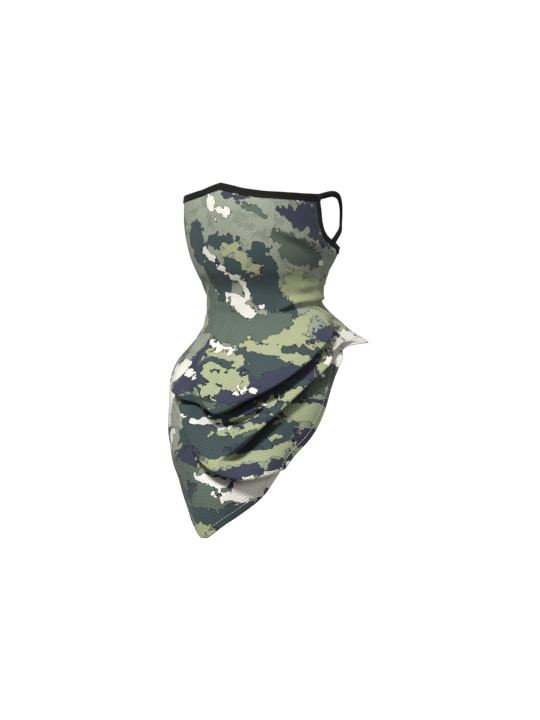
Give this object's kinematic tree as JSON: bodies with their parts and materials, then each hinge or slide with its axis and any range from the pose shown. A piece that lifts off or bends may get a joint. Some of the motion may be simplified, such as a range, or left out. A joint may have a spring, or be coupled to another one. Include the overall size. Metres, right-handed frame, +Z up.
{
  "type": "ear-loop face mask",
  "caption": "Ear-loop neck gaiter in camouflage knit with a pointed bandana drape: covers the nose, cheeks and neck, held by bound loops round the ears.",
  "frame": {"origin": "on the wearer's neck axis, level with the lower ends of the ears, where the worn mask is held", "axes": "+Z up, the face looks along -Y, the wearer's left is +X"},
  "size_m": [0.202, 0.231, 0.3865],
  "materials": {
    "camo_knit": "matt printed honeycomb knit in sage, olive, slate and cream",
    "black_binding": "matt black stretch binding tape",
    "light_thread": "pale sewing thread",
    "black_thread": "black sewing thread"
  },
  "bodies": {
    "mask": {"front_panel": "camo_knit", "back_panel": "camo_knit", "back_hem": "camo_knit", "side_seam_left": "camo_knit", "side_seam_right": "camo_knit", "side_hem_left": "camo_knit", "side_hem_right": "camo_knit", "nose_binding": "black_binding", "nape_binding": "black_binding", "ear_binding_left": "black_binding", "ear_binding_right": "black_binding", "back_hem_thread": "light_thread", "side_hem_thread_left": "light_thread", "side_hem_thread_right": "light_thread", "nose_binding_thread": "black_thread", "nape_binding_thread": "black_thread", "upper_tack_left": "black_thread", "upper_tack_right": "black_thread", "lower_tack_left": "black_thread", "lower_tack_right": "black_thread"},
    "ear_loop_left": {"ear_loop_left": "black_binding"},
    "ear_loop_right": {"ear_loop_right": "black_binding"},
    "point": {"bandana_point": "camo_knit", "point_hem_left": "camo_knit", "point_hem_right": "camo_knit", "point_hem_thread_left": "light_thread", "point_hem_thread_right": "light_thread"}
  },
  "joints": [
    {"name": "ear_loop_left_swing", "type": "hinge", "parent": "mask", "child": "ear_loop_left", "pos_m": [0.0776, -0.0104, 0.0214], "axis": [-0.0309, 0.6404, -0.7674], "range_deg": [-12, 65], "stiffness_Nm_per_rad": 0.01},
    {"name": "ear_loop_right_swing", "type": "hinge", "parent": "mask", "child": "ear_loop_right", "pos_m": [-0.0776, -0.0104, 0.0214], "axis": [-0.0309, -0.6404, 0.7674], "range_deg": [-12, 65], "stiffness_Nm_per_rad": 0.01},
    {"name": "point_lift", "type": "hinge", "parent": "mask", "child": "point", "pos_m": [0, -0.1285, -0.267], "axis": [-1, 0, 0], "range_deg": [0, 50], "stiffness_Nm_per_rad": 0.15}
  ]
}
